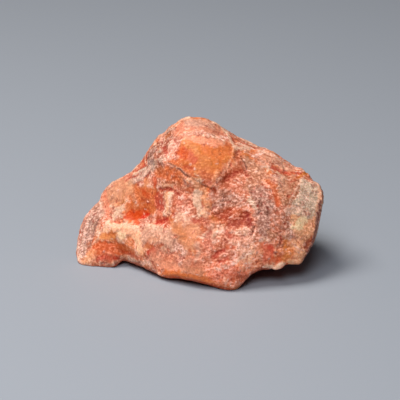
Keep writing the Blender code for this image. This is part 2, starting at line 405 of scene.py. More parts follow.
showFace = (  # name, tone, amount, radius, soft edge, path, all in millimetres
    # the domed top
    ("peach", "peach", 0.85, 1.3, 0.72, [(-2.6, 10.1), (0, 10.7), (2.3, 9.9)]),
    ("pink crest", "shell", 0.6, 0.58, 0.58, [(-2, 11), (0, 11)]),
    ("orange crown", "apricot", 0.7, 0.29, 0.29, [(-1.4, 11.7), (1, 11.5)]),
    ("speckled right", "rose", 0.6, 0.58, 0.43, [(2.6, 9.8), (3.7, 8.9)]),
    ("brown fleck", "brick", 0.6, 0.29, 0.23, [(1.4, 11.4), (2.3, 10.8)]),
    ("pale streak", "frost", 0.7, 0.32, 0.36, [(-2.3, 9.5), (-0.6, 9.8), (1.4, 9.5), (3.2, 8.7)]),
    # the orange window under it
    ("window", "orange", 0.9, 1.59, 0.58, [(-1.7, 7.1), (0.3, 6.2), (2.6, 6.3), (3.5, 6.8)]),
    ("lower half", "orange", 0.85, 1.3, 0.58, [(-0.9, 5), (0.9, 4.3), (2.3, 4.9)]),
    ("peach top", "peach", 0.85, 0.58, 0.43, [(-2, 8.9), (0.4, 8.5), (2.9, 8.1)]),
    ("hottest part", "flame", 0.8, 0.65, 0.43, [(-2.6, 6.9), (-1.4, 6.3), (-1, 5.8)]),
    ("hot foot", "rust", 0.8, 0.58, 0.43, [(-3.2, 5.6), (-1.4, 5)]),
    ("light streak", "amber", 0.9, 0.52, 0.35, [(-2.3, 8.2), (-1.3, 7.8), (-0.3, 7.1)]),
    ("amber middle", "amber", 0.5, 0.72, 0.58, [(0.4, 5.8), (2.3, 5.3)]),
    ("light corner", "amber", 0.9, 0.37, 0.29, [(3.9, 6.2), (3.7, 5.6)]),
    ("brown foot", "rust", 0.75, 0.79, 0.5, [(-0.1, 3.9), (1, 3)]),
    ("rosy foot", "rose", 0.4, 0.43, 0.43, [(0.4, 2.9), (1.4, 2.3)]),
    ("pale foot", "peach", 0.75, 0.37, 0.29, [(2.5, 4), (2.2, 2.9), (1.9, 2)]),
    # the cap block around them
    ("red foot", "crimson", 0.7, 0.37, 0.29, [(-2.3, 4.8), (-1.4, 4.5)]),
    ("rosy flank", "frost", 0.6, 0.79, 0.58, [(-3.6, 8.4), (-4.6, 6.2)]),
    ("rosy shoulder", "salmon", 0.75, 0.58, 0.43, [(-3.6, 9.9), (-2.7, 10.7)]),
    ("crimson flecks", "crimson", 0.6, 0.23, 0.2, [(-3.7, 8.7), (-3.3, 8.2)]),
    ("crimson spot", "crimson", 0.9, 0.32, 0.22, [(-5.2, 7.6), (-4.9, 6.6)]),
    ("ochre spot", "rust", 0.85, 0.43, 0.26, [(-4.9, 9.1), (-4.3, 9.7)]),
    ("red fleck", "crimson", 0.6, 0.22, 0.17, [(-2.7, 9.7)]),
    ("crest, far edge", "shell", 0.8, 1.01, 0.58, [(-1.4, 11.3), (0, 11.3), (1.2, 11.1)]),
    ("cream rim", "cream", 0.8, 0.25, 0.23, [(-3.3, 11.3), (-1.7, 11.8)]),
    ("cream left rim", "shell", 0.85, 0.32, 0.29,
     [(-6.9, 8.1), (-6.2, 8.8), (-5.3, 9.6), (-4.5, 10.2), (-3.5, 11)]),
    # frost along the cap's rim with a painted highlight on its convex edge
    ("frosted edge", "cream", 0.85, 0.32, 0.23,
     [(1.6, 11.4), (2.5, 10.9), (3.3, 10.1), (4, 9.4), (4.5, 8.5), (4.8, 7.6)]),
    ("right lip", "ivory", 0.5, 0.13, 0.2, [(4.8, 7.6), (4.6, 6.2), (4, 4.9), (3.2, 3.5), (2.3, 2.2)]),
    ("frosted spots", "frost", 0.9, 0.29, 0.22, [(3, 9.2), (3.9, 8.9)]),
    ("brown edge line", "brick", 0.6, 0.13, 0.14, [(2.9, 8.5), (3.9, 8.2), (4.4, 7.4), (4.3, 6.5)]),
    # the hairline crack below
    ("upper lip", "rust", 0.8, 0.35, 0.23, [(-4.2, 5.6), (-3, 5), (-1.9, 4.2), (-1, 3.5)]),
    ("lower side", "rust", 0.85, 0.35, 0.23, [(-4.9, 4.6), (-3.6, 4.2), (-2.6, 3.3)]),
    ("crack", "umber", 0.8, 0.13, 0.12,
     [(-4.6, 5.3), (-4, 5), (-3.6, 4.8), (-2.9, 4.3), (-2.3, 3.7), (-1.9, 3.4)]),
    ("crack, fine end", "umber", 0.85, 0.12, 0.12,
     [(-1.9, 3.4), (-1, 3), (-0.3, 2.7), (0.4, 2.2), (1, 1.8), (1.6, 1.6)]),
    ("pit at its end", "oxblood", 0.8, 0.32, 0.26, [(1.7, 1.3), (2.3, 1.4)]),
    ("pit, dark", "umber", 0.85, 0.14, 0.14, [(1.7, 1.2), (2.3, 1.3)]),
    ("beige below", "beige", 0.85, 0.65, 0.36, [(-1.4, 2.6), (-0.3, 1.7), (0.7, 1.2)]),
    ("pale lip", "cream", 0.6, 0.23, 0.22, [(-1.9, 2.9), (-1.2, 2.3)]),
    # the cap's left flank
    ("mauve", "taupe", 0.75, 1.01, 0.58, [(-6.8, 7.2), (-7.2, 5.8)]),
    ("dark upper", "umber", 0.6, 0.29, 0.29, [(-6.9, 7.6), (-6.2, 8.2)]),
    ("dark lower", "umber", 0.65, 0.29, 0.29, [(-7.8, 5.8), (-7.1, 6.5)]),
    ("pale foot", "blush", 0.8, 0.32, 0.29, [(-6.5, 5.5), (-5.3, 5.8), (-4.5, 6.1)]),
    ("pale grains", "frost", 0.8, 0.23, 0.22, [(-6.5, 7.6), (-6.1, 6.9)]),
    # the cream ridge
    ("pale ground", "shell", 0.85, 0.72, 0.36, [(-9.7, 2.6), (-8.7, 3.2), (-7.5, 4), (-6.5, 4.9)]),
    ("cream", "cream", 0.9, 0.29, 0.23, [(-9.7, 3.6), (-8.8, 4.2), (-7.8, 4.6)]),
    # painted shadow line above the cream crest
    ("dark line", "umber", 0.6, 0.09, 0.12, [(-8.7, 4.4), (-7.6, 4.9)]),
    ("rosy band", "rose", 0.5, 0.29, 0.29, [(-9.1, 2.3), (-7.8, 2.9)]),
    ("dark red notch", "oxblood", 0.85, 0.17, 0.17, [(-8, 3.2), (-7.2, 4)]),
    ("frosted band", "frost", 0.7, 0.29, 0.29, [(-8.9, 1.7), (-7.8, 2.5), (-6.9, 3.5)]),
    # below the hairline crack
    ("smooth burnt orange", "rust", 0.85, 0.87, 0.43, [(-5.8, 4), (-4.6, 3.5), (-3.2, 2.7)]),
    ("smooth orange, foot", "fawn", 0.6, 0.43, 0.36, [(-5.2, 2.5), (-3.7, 2.3), (-2.3, 1.7)]),
    ("bright strip", "flame", 0.75, 0.37, 0.29, [(-6.6, 3), (-6.6, 2)]),
    ("strip, amber side", "amber", 0.7, 0.43, 0.36, [(-7.6, 2.9), (-7.8, 1.9)]),
    ("orange on the left", "rust", 0.9, 1.3, 0.58, [(-9.7, 1), (-8.5, 0.6), (-7.1, 0.6), (-7.2, -0.6)]),
    ("orange, tan veil", "fawn", 0.6, 0.43, 0.36, [(-10.1, 1.2), (-9.5, 0)]),
    ("flame spot", "flame", 0.7, 0.46, 0.36, [(-8.1, 1), (-7.4, 0.4)]),
    ("orange, red trail", "oxblood", 0.6, 0.29, 0.26, [(-8.4, 0.1), (-7.5, -0.3), (-6.9, -0.9)]),
    ("crimson ground", "crimson", 0.75, 0.72, 0.43, [(-6.1, 0.4), (-5.8, -0.9)]),
    ("rosy ground", "rose", 0.6, 1.15, 0.58, [(-2.9, 0.6), (-2.3, -0.9)]),
    ("pale line", "cream", 0.6, 0.14, 0.17, [(-5.3, 2.2), (-3.9, 2.2)]),
    ("red band", "oxblood", 0.95, 0.27, 0.19, [(-5.8, 1.6), (-4.6, 1.7), (-3.7, 1.4), (-3, 0.7)]),
    ("brown by the strip", "brick", 0.7, 0.43, 0.29, [(-3.7, 0.4), (-3.5, -0.6)]),
    ("cream strip", "tan", 0.75, 0.35, 0.26, [(-4.9, 0.9), (-4.9, -0.1), (-4.7, -1.3)]),
    ("brown by the vein", "brick", 0.6, 0.43, 0.32, [(-2.5, 1.2), (-1.4, 1.4)]),
    ("white fleck", "frost", 0.95, 0.19, 0.14, [(-2.9, 0.4), (-2.5, 0.3)]),
    ("cream vein", "cream", 0.9, 0.61, 0.26, [(-0.3, 1), (-0.4, -0.6), (0, -1.7)]),
    ("vein, tan side", "tan", 0.7, 0.58, 0.36, [(0.7, 0.6), (0.9, -1.2)]),
    ("vein, pale foot", "ivory", 0.8, 0.36, 0.29, [(0.4, -1.7), (0.9, -2.3)]),
    # the left slope
    ("peach", "apricot", 0.9, 1.3, 0.58, [(-11.8, 2), (-11, 1.4), (-12.1, 0.4), (-13.1, 0.4)]),
    ("tan top", "tan", 0.6, 0.58, 0.43, [(-10.4, 2.5), (-9.9, 1.4)]),
    ("rosy", "salmon", 0.85, 0.65, 0.36, [(-13.8, 0.6), (-13.4, -0.7), (-13.1, -1.7)]),
    ("brown seam", "brown", 0.5, 0.22, 0.22, [(-11, 1.4), (-11.1, 0), (-11.5, -1)]),
    ("ochre tint", "ochre", 0.4, 0.36, 0.29, [(-11.7, -0.7), (-11, -0.3)]),
    ("cream patch", "cream", 0.95, 0.58, 0.26, [(-12.4, -2.5), (-11.7, -1.7), (-11.4, -1.3)]),
    # the recess
    ("orange above", "rust", 0.85, 0.72, 0.43, [(-10.4, -1), (-8.7, -1.3), (-6.9, -1.4)]),
    ("flame", "flame", 1, 0.87, 0.37, [(-10.2, -2.2), (-9.1, -2.2), (-7.8, -1.9)]),
    ("red end", "vermilion", 0.9, 0.4, 0.26, [(-8.4, -2.5), (-7.5, -2.2)]),
    ("hanging tongue", "flame", 0.9, 0.35, 0.2, [(-9.5, -3), (-9.1, -3.5)]),
    ("rosy part", "salmon", 0.7, 0.43, 0.29, [(-6.3, -1.7), (-5.5, -2.2)]),
    ("crimson patch", "crimson", 0.95, 0.46, 0.22, [(-6.2, -3.3), (-5.3, -3), (-4.8, -2.6)]),
    ("pink below", "rose", 0.5, 0.36, 0.29, [(-7.2, -2.9), (-6.6, -2.5)]),
    ("crimson spot", "crimson", 0.9, 0.27, 0.19, [(-12.5, -3.3), (-12.1, -3.2)]),
    # the ledge
    ("cream ground", "ivory", 0.85, 0.87, 0.43, [(-13.6, -4.2), (-11.8, -4.3), (-9.8, -4.6), (-8.7, -5.5)]),
    ("peach ground", "shell", 0.85, 1.01, 0.58, [(-7.8, -4.9), (-6.1, -5.2), (-4.6, -4.9)]),
    ("crest", "cream", 0.9, 0.32, 0.26,
     [(-13.8, -3.7), (-12.7, -3.8), (-11.4, -3.6), (-10.2, -3.7), (-9.1, -4.2)]),
    ("crest, middle", "cream", 0.95, 0.37, 0.23, [(-7.8, -3.6), (-6.6, -3.9), (-5.8, -4.3)]),
    ("butter block", "butter", 0.8, 0.43, 0.26, [(-11.7, -4.8), (-11.2, -5.3)]),
    ("speckled block", "beige", 0.6, 0.58, 0.36, [(-10.5, -5.6), (-10.1, -6.3)]),
    ("cream mass", "ivory", 0.95, 0.61, 0.26, [(-9.2, -5.5), (-8.8, -6.5), (-8.8, -7.4)]),
    ("orange tint", "apricot", 0.6, 0.37, 0.29, [(-7.1, -5.6), (-6.1, -5.5)]),
    # the left block below it
    ("amber block", "amber", 0.95, 0.55, 0.26, [(-14.3, -5.2), (-12.5, -5)]),
    ("amber, hot spot", "rust", 0.85, 0.32, 0.23, [(-13.6, -4.9), (-12.5, -4.9)]),
    ("step shadow line", "umber", 0.8, 0.12, 0.13, [(-15, -6), (-13.8, -6.1), (-12.7, -6.1)]),
    ("red", "sienna", 0.9, 1.01, 0.43, [(-14.7, -6.9), (-12.7, -6.9), (-11, -7.2)]),
    ("orange end", "rust", 0.8, 0.58, 0.36, [(-11.2, -6.8), (-10.1, -7.5)]),
    ("deep red", "vermilion", 0.6, 0.46, 0.36, [(-14.4, -8.4), (-12.1, -8.5)]),
    ("red toe", "flame", 0.7, 0.43, 0.32, [(-11, -7.4), (-9.9, -7.9), (-9.2, -8.4)]),
    ("ochre corner", "tan", 0.8, 0.58, 0.36, [(-16.4, -8.5), (-15.6, -7.8)]),
    ("pale flecks", "salmon", 0.7, 0.26, 0.23, [(-13.8, -7.5), (-13.1, -7.8)]),
    ("tan below", "tan", 0.6, 0.43, 0.35, [(-8.5, -7.8), (-7.8, -6.8)]),
    ("orange below", "rust", 0.75, 0.49, 0.29, [(-7.5, -6.2), (-7.1, -6.9)]),
    ("red below", "vermilion", 0.9, 0.4, 0.23, [(-7.5, -7.6), (-6.8, -7.2)]),
    ("dark bit", "brick", 0.7, 0.17, 0.14, [(-5.6, -6.3), (-6.1, -6.8)]),
    ("pink toe", "blush", 0.7, 0.43, 0.36, [(-8.7, -8.8), (-7.2, -9.2)]),
    # the left end
    ("pale rose", "blush", 0.85, 1.01, 0.43, [(-14.9, -1.6), (-16, -3.2), (-16.7, -5.5), (-17.2, -7.8)]),
    ("frosted rim", "frost", 0.8, 0.29, 0.29, [(-15.6, -1.3), (-16.7, -3.2), (-17.4, -5.8), (-17.6, -7.8)]),
    ("rosy right part", "rose", 0.5, 0.36, 0.36, [(-14.6, -3.2), (-15.4, -5.2), (-15.9, -6.9)]),
    ("streak", "taupe", 0.75, 0.13, 0.13, [(-15.4, -2.3), (-16.2, -4.3), (-16.6, -6.3)]),
    ("second streak", "taupe", 0.75, 0.13, 0.13, [(-14.7, -2.9), (-15.3, -4.6), (-15.9, -6.6)]),
    ("third streak", "rose", 0.7, 0.14, 0.14, [(-15.9, -1.6), (-16.7, -3.7), (-17.3, -6.1)]),
    ("fourth streak", "dusk", 0.4, 0.1, 0.12, [(-14.9, -1.9), (-15.7, -3.7), (-16.3, -5.5)]),
    ("lower grains", "frost", 0.7, 0.22, 0.22, [(-17, -7.2), (-16.4, -8.1)]),
    # the middle
    ("salmon ground", "salmon", 0.75, 1.3, 0.72, [(-6.3, -8.1), (-4, -8.9), (-0.6, -9.2), (0.6, -7.2)]),
    ("peach", "apricot", 0.95, 1.44, 0.72, [(-3.2, -4), (-1.7, -4.6), (-2, -5.8)]),
    ("pale lobe", "shell", 0.95, 0.65, 0.43, [(-3.3, -2.5), (-2.3, -2.9)]),
    ("orange heart", "amber", 0.4, 0.72, 0.58, [(-3.5, -4.2), (-2.3, -5.3)]),
    ("cream lobe", "shell", 0.85, 0.72, 0.43, [(-5, -5), (-4.9, -6.2), (-4, -6.5)]),
    ("peach foot", "peach", 0.7, 0.72, 0.58, [(-6.5, -8.9), (-4.6, -9.5), (-2.6, -9.8)]),
    ("frosted trail", "frost", 0.75, 0.43, 0.32, [(-3.5, -6.9), (-2.3, -7.6), (-3, -9.2)]),
    ("red flecks", "rose", 0.75, 0.26, 0.26, [(-3.5, -8.8), (-2.5, -8.5)]),
    ("ochre seam", "tan", 0.6, 0.17, 0.17, [(-1.1, -6.2), (-1, -7.8)]),
    ("cream seam", "shell", 0.7, 0.43, 0.32, [(-0.4, -6.3), (-0.1, -7.4), (-0.6, -8.4)]),
    ("salmon edge", "rose", 0.55, 0.58, 0.36, [(0.7, -3.2), (1.2, -5.2), (1, -7.5)]),
    ("rose spots", "rose", 0.6, 0.29, 0.29, [(1, -6.6), (1.7, -5.9)]),
    # its foot
    ("peach veil", "apricot", 0.6, 0.58, 0.43, [(-1.7, -9.8), (0.9, -10.4)]),
    # painted glow: light through the thin lower edge, in orange and flame
    ("glowing edge", "orange", 0.95, 0.52, 0.43,
     [(-4.9, -10.6), (-2.2, -11), (0.7, -11.4), (3.2, -12.3), (5.5, -12.7)]),
    ("deep glow", "flame", 0.85, 0.29, 0.29,
     [(-4, -11.1), (-2, -11.7), (0.6, -12.1), (3.2, -12.8), (5.2, -13)]),
    # the granular face on the right
    ("right face", "rosyBrown", 0.85, 3.89, 1.3, [(6.2, 1.2), (9.2, -2.2), (7.5, -6.2), (4.6, -8.9)]),
    ("tan upper part", "fawn", 0.8, 1.3, 0.72, [(6.8, 5.2), (8.4, 3.5), (7.5, 2)]),
    ("top, pale slope", "shell", 0.6, 0.72, 0.58, [(8.9, 6.5), (11, 5.6), (13, 4.6)]),
    ("top, rosy rim", "salmon", 0.7, 0.43, 0.43, [(5.8, 8.2), (7.5, 7.6), (9.8, 7.1)]),
    # painted shade of the step down beside the cap, deepening the stone's red-brown
    ("by the cap, brick", "brick", 0.85, 0.63, 0.35, [(5.5, 6.8), (5.8, 5), (4.6, 3.7), (3.5, 2.5)]),
    ("by the cap, red", "oxblood", 0.7, 0.35, 0.29, [(3.9, 3), (5, 3.9), (6.2, 4.3), (6.8, 3.5)]),
    ("by the cap, low", "mauve", 0.7, 0.43, 0.43, [(2.7, 1), (3.7, 1.6)]),
    ("short fissure", "umber", 0.8, 0.13, 0.13, [(5.9, 6.3), (6.4, 5.6), (6.7, 4.6)]),
    ("top, cream patch", "cream", 0.85, 0.32, 0.23, [(5.2, 7.6), (5.9, 7.4), (6.9, 7.5)]),
    ("top, frost patch", "frost", 0.95, 0.4, 0.23, [(7.9, 6.5), (8.9, 6.8), (9.5, 7.4)]),
    ("top, frosted rim", "blush", 0.85, 0.43, 0.35,
     [(5.5, 8.2), (7.5, 7.5), (9.8, 6.8), (12.1, 5.6), (13.8, 4.6), (15, 4.2)]),
    ("top, mauve", "mauve", 0.6, 0.36, 0.29, [(6.6, 7.2), (8.9, 5.8), (11.5, 5.2)]),
    ("top, red rim", "crimson", 0.7, 0.25, 0.19, [(5.8, 8.4), (6.6, 8.1)]),
    ("top, red rim, right", "oxblood", 0.7, 0.22, 0.17, [(7.4, 7.8), (8.2, 7.4)]),
    ("red spots", "crimson", 0.8, 0.37, 0.23, [(10.4, 4.8), (11.4, 4.3), (12.5, 4)]),
    ("pale fleck", "frost", 0.8, 0.32, 0.23, [(10.5, 3.5), (11.4, 3.2)]),
    ("orange streak", "sienna", 0.6, 0.63, 0.49, [(10.1, 2.6), (11, 1.2), (11.2, -0.3)]),
    ("streak, core", "flame", 0.5, 0.26, 0.23, [(10.8, 0.7), (11.2, -0.7)]),
    ("tan on its right", "fawn", 0.75, 0.58, 0.43, [(13, 3.5), (12.4, 1.9), (12, 0.3)]),
    ("mauve middle", "taupe", 0.75, 1.15, 0.72, [(8.5, 0.9), (9.4, -1), (9.1, -3.2), (9.2, -4.6)]),
    ("mauve, pale veins", "frost", 0.6, 0.14, 0.17, [(8.9, 0.9), (9.5, -0.4), (10.4, -1.9), (11, -3.5)]),
    ("mauve, left vein", "frost", 0.6, 0.14, 0.17, [(4.3, 0), (5.8, -0.7), (7.4, -1.9), (8.4, -2.7)]),
    ("mauve, dark spots", "umber", 0.6, 0.22, 0.19, [(7.2, 1.7), (7.5, 1.2)]),
    ("mauve, second", "umber", 0.7, 0.22, 0.19, [(8.6, 0.1), (8.7, -0.7)]),
    ("mauve, third", "umber", 0.6, 0.17, 0.17, [(9.7, -1.2), (9.7, -2.3)]),
    ("grey-green fleck", "bone", 0.7, 0.4, 0.35, [(7.4, 0), (8.1, -1.2)]),
    ("rosy left part", "mauve", 0.75, 1.01, 0.58, [(2.3, 0.4), (4, 0), (5.8, -0.3)]),
    ("dark line", "umber", 0.5, 0.1, 0.13, [(2.6, -0.1), (4.2, -0.1), (5.3, -0.6)]),
    ("red-brown patch", "brick", 0.9, 0.78, 0.37, [(2.6, -2.5), (4.2, -2)]),
    ("red-brown, end", "ochre", 0.7, 0.4, 0.29, [(2.2, -2.7), (3, -3)]),
    ("deep red patch", "oxblood", 0.7, 0.72, 0.43, [(4.6, -3.2), (5.9, -3), (6.9, -2.5), (7.2, -3.5)]),
    ("deep red, darkest", "oxblood", 0.7, 0.29, 0.26, [(6.5, -1.9), (7.1, -2.6), (7.4, -3.6)]),
    ("red below the patch", "crimson", 0.6, 0.37, 0.29, [(4, -4.6), (4.8, -5.5)]),
    ("fissure below", "umber", 0.9, 0.14, 0.14, [(7.8, -4), (7.6, -5)]),
    ("round rosy patch", "blush", 0.8, 0.63, 0.32, [(5.8, -4.5), (6.9, -4.5)]),
    ("pale left spots", "frost", 0.7, 0.22, 0.2, [(2.7, -4.5), (3.5, -4.6)]),
    ("pale spot", "frost", 0.6, 0.29, 0.29, [(1.9, -5.9), (2.6, -5.8)]),
    ("pale ground", "blush", 0.5, 1.15, 0.72, [(5.2, -6.6), (6.9, -6.6), (6.3, -8.1)]),
    ("orange spot", "flame", 0.75, 0.35, 0.29, [(4, -6.8), (4.8, -6.9)]),
    ("red foot patch", "crimson", 0.85, 0.37, 0.29, [(2, -8.1), (2.6, -7.5), (3.2, -7.4)]),
    ("red foot, second", "crimson", 0.7, 0.32, 0.26, [(2.7, -8.9), (3.7, -8.5)]),
    # painted glints in frost
    ("sparkling band", "frost", 1, 0.29, 0.2, [(3.2, -9.5), (4.3, -9.7), (5.3, -8.9)]),
    ("sparkling, upper", "frost", 0.95, 0.29, 0.26, [(5.6, -8.4), (6.3, -7.8), (7.2, -7.5)]),
    ("mauve foot", "taupe", 0.5, 0.5, 0.37, [(6.2, -8.9), (7.2, -9.5)]),
    ("rosy foot", "rose", 0.6, 0.72, 0.58, [(2.3, -11), (4.6, -10.1), (6.3, -10.7)]),
    ("red foot, third", "brick", 0.6, 0.5, 0.43, [(5.2, -11.4), (6.5, -11.2)]),
    ("frosted foot", "frost", 0.7, 0.29, 0.22, [(2.2, -9.9), (3, -10.1)]),
    ("pale foot grains", "shell", 0.8, 0.23, 0.17, [(3.6, -11.4), (3.9, -12)]),
    ("tan patch", "fawn", 0.75, 0.49, 0.36, [(9.7, -4.5), (10.8, -5.2)]),
    ("pale by the tan", "blush", 0.85, 0.35, 0.26, [(8.8, -5.8), (9.8, -5.9)]),
    ("crimson ground", "crimson", 0.6, 0.72, 0.43, [(9.7, -6.6), (10.4, -7.5), (9.4, -8.4)]),
    ("crimson by the tan", "crimson", 0.8, 0.35, 0.25, [(10.1, -6.6), (10.5, -7.4)]),
    ("crimson grain", "oxblood", 0.85, 0.2, 0.16, [(11.7, -5.3), (11.7, -6.2)]),
    ("low orange", "flame", 0.7, 0.4, 0.29, [(10.5, -8.5), (11.4, -8.8)]),
    ("low ochre", "ochre", 0.55, 0.58, 0.35, [(12.5, -5.9), (12.7, -7.5), (12.1, -8.5)]),
    ("frosted edge", "blush", 0.85, 0.43, 0.26, [(9.5, -9.5), (10.8, -9.8), (12, -9.2)]),
    ("low tan", "tan", 0.9, 1.08, 0.43, [(14.1, -6.2), (14.4, -8.1), (13.7, -8.9)]),
    ("low brown vein", "brick", 0.6, 0.13, 0.14, [(13.7, -5.6), (14.4, -6.3), (14.7, -7.2)]),
    ("low white vein", "frost", 0.7, 0.12, 0.14, [(13.3, -6.2), (14.3, -7.1), (14.9, -7.2)]),
    ("rosy right edge", "salmon", 0.7, 0.32, 0.29, [(15.9, -6.9), (15.3, -8.9)]),
    # the pale facet
    ("speckled tan ground", "tan", 0.85, 1.3, 0.36, [(13.8, -3.2), (15, -4.6), (15.9, -3.2)]),
    ("facet", "bone", 0.9, 1.15, 0.23, [(15.3, 1.9), (14.9, 0.3), (14, -1.2)]),
    ("right part", "bone", 0.9, 1.01, 0.23, [(16.3, 1.3), (16.4, -0.4), (15.7, -1.9)]),
    ("pale right rim", "ivory", 0.7, 0.35, 0.29, [(17.2, 1.4), (17.3, 0), (16.9, -1.4)]),
    ("rosy part", "blush", 0.75, 0.65, 0.43, [(12.7, -1.6), (14.1, -1.3), (15.3, -2)]),
    ("grey heart", "taupe", 0.25, 0.58, 0.43, [(15, 1.4), (15.3, -0.3)]),
    ("rosy lower left", "mauve", 0.7, 0.58, 0.36, [(12.1, -2.6), (12.4, -4.3)]),
    ("yellow patch", "butter", 0.95, 0.72, 0.29, [(14.1, -3.7), (15, -2.9)]),
    ("yellow corner", "butter", 0.85, 0.26, 0.2, [(13.1, -4), (13.7, -4)]),
    ("tan foot", "fawn", 0.5, 0.43, 0.36, [(13.8, -5.2), (15.3, -5.5)]),
    # painted shade on the riser of the step down to the facet, in this band and the step beside it
    ("shaded step band", "fawn", 0.95, 0.37, 0.23, [(14, 3), (13.3, 1.9), (12.5, 0.6), (12.1, -0.6)]),
    ("step beside it", "fawn", 0.9, 0.35, 0.17, [(14.4, 2.6), (13.8, 1.4), (13.3, 0.3), (12.8, -0.4)]),
    ("pale line", "blush", 0.8, 0.13, 0.14, [(14.6, 2.7), (13.8, 1.6), (13.1, 0.1), (12.7, -0.9)]),
    ("ochre cleft", "ochre", 0.95, 0.26, 0.19, [(14, 3.2), (14.9, 3.7), (15.6, 4.1)]),
    ("cleft, dark end", "umber", 0.7, 0.14, 0.14, [(15.6, 4), (16.2, 3)]),
    ("cleft, brown end", "brick", 0.7, 0.22, 0.17, [(13.6, 2.9), (14, 3.3)]),
    ("white rim", "cream", 0.9, 0.16, 0.14, [(16, 2.8), (17, 2.3), (17.4, 1.6)]),
    # painted shade on the side strip turned away from the lamps, over the stone's darker tone
    ("right edge, shaded", "dusk", 0.9, 0.29, 0.23,
     [(17.4, -0.4), (17.2, -1.7), (16.9, -3.2), (16.6, -4.8), (16.2, -6.2), (15.6, -7.5)]),
)

# Painted light and shade as broad colour factors: parts that lie low and in shade (lower right, foot, lower
# edge, cream mass, tan corner, pit under the cap) are lifted, and parts that face up into the lamps (left
# end, the cap, left slope) are darkened; the other rows shift tone
paintedLightAndTone = (  # broad changes in depth of colour: name, red, green and blue factors, radius, soft edge, path
    ("left end", (0.63, 0.63, 0.67), 1.3, 0.87, [(-15, -2), (-16.2, -4.3), (-16.7, -6.9)]),
    ("left pink", (0.83, 0.73, 0.69), 1.01, 0.72, [(-14.7, -1.2), (-14.7, -2.3)]),
    ("cap's left side", (0.7, 0.78, 0.82), 1.44, 0.87, [(-4.6, 9.2), (-5.8, 7.2), (-6.1, 5.2)]),
    ("cap's orange", (0.85, 0.79, 0.76), 0.87, 0.58, [(-4.6, 9.8), (-3.7, 9.2)]),
    ("cap's crest", (0.8, 0.8, 0.85), 1.15, 0.87, [(-2.3, 10.7), (0, 11), (2, 10.1)]),
    ("window", (0.85, 0.84, 0.54), 1.73, 0.87, [(-1.2, 6.3), (0.9, 4)]),
    ("cap's foot", (0.88, 0.72, 0.7), 1.01, 0.58, [(0.6, 3.3), (1.3, 3)]),
    ("cream ridge", (0.76, 0.91, 1.03), 1.15, 0.72, [(-9.5, 2.9), (-7.2, 4.6)]),
    ("left slope", (0.86, 0.91, 0.96), 1.44, 0.87, [(-12.7, 1.2), (-11, 2.3)]),
    ("orange slope", (0.94, 0.8, 0.7), 1.15, 0.72, [(-6.1, 3.5), (-3.7, 2.9)]),
    ("crimson patch", (0.97, 0.68, 0.62), 1.01, 0.58, [(-5.8, -2.9), (-5.2, -3.2)]),
    ("red patches", (0.9, 0.57, 0.32), 1.3, 0.72, [(3.5, -2.6), (6.6, -2.6)]),
    ("top right", (0.95, 1.06, 1.17), 1.44, 0.87, [(6.6, 6.1), (8.4, 5.2)]),
    ("pit under the cap", (1.5, 1.32, 1.08), 0.65, 0.43, [(1.7, 1.4), (2.2, 1.3)]),
    ("lower right", (1.46, 1.57, 1.46), 1.87, 1.3, [(7.2, -8.9), (9.2, -7.8), (11.2, -8.4)]),
    ("tan corner", (1.29, 1.32, 1.36), 1.44, 0.87, [(13.8, -6.3), (13.3, -8.1)]),
    ("foot", (1.4, 1.26, 1.2), 1.73, 1.15, [(2.3, -10.4), (4.6, -10.7), (6.6, -9.8)]),
    ("lower edge", (1.28, 1.22, 1.16), 0.87, 0.72, [(-5.8, -10.1), (-2.2, -10.7), (1.4, -11.5)]),
    ("lower left block", (0.92, 0.75, 0.6), 1.44, 0.87, [(-14.7, -7.2), (-11.8, -7.5)]),
    ("cream mass", (1.27, 1.22, 1.15), 1.3, 0.87, [(-9.5, -6.1), (-8.7, -7.2)]),
    ("facet's foot", (1.05, 1.1, 1.09), 1.3, 0.87, [(14.1, -2.6), (14.1, -4)]),
    ("peach block", (1.08, 1.04, 1), 1.3, 0.87, [(-2.3, -4.3), (-1.7, -5.2)]),
    ("amber block", (1.04, 1.2, 1.32), 0.72, 0.58, [(-14.1, -5.2), (-13, -5.2)]),
)

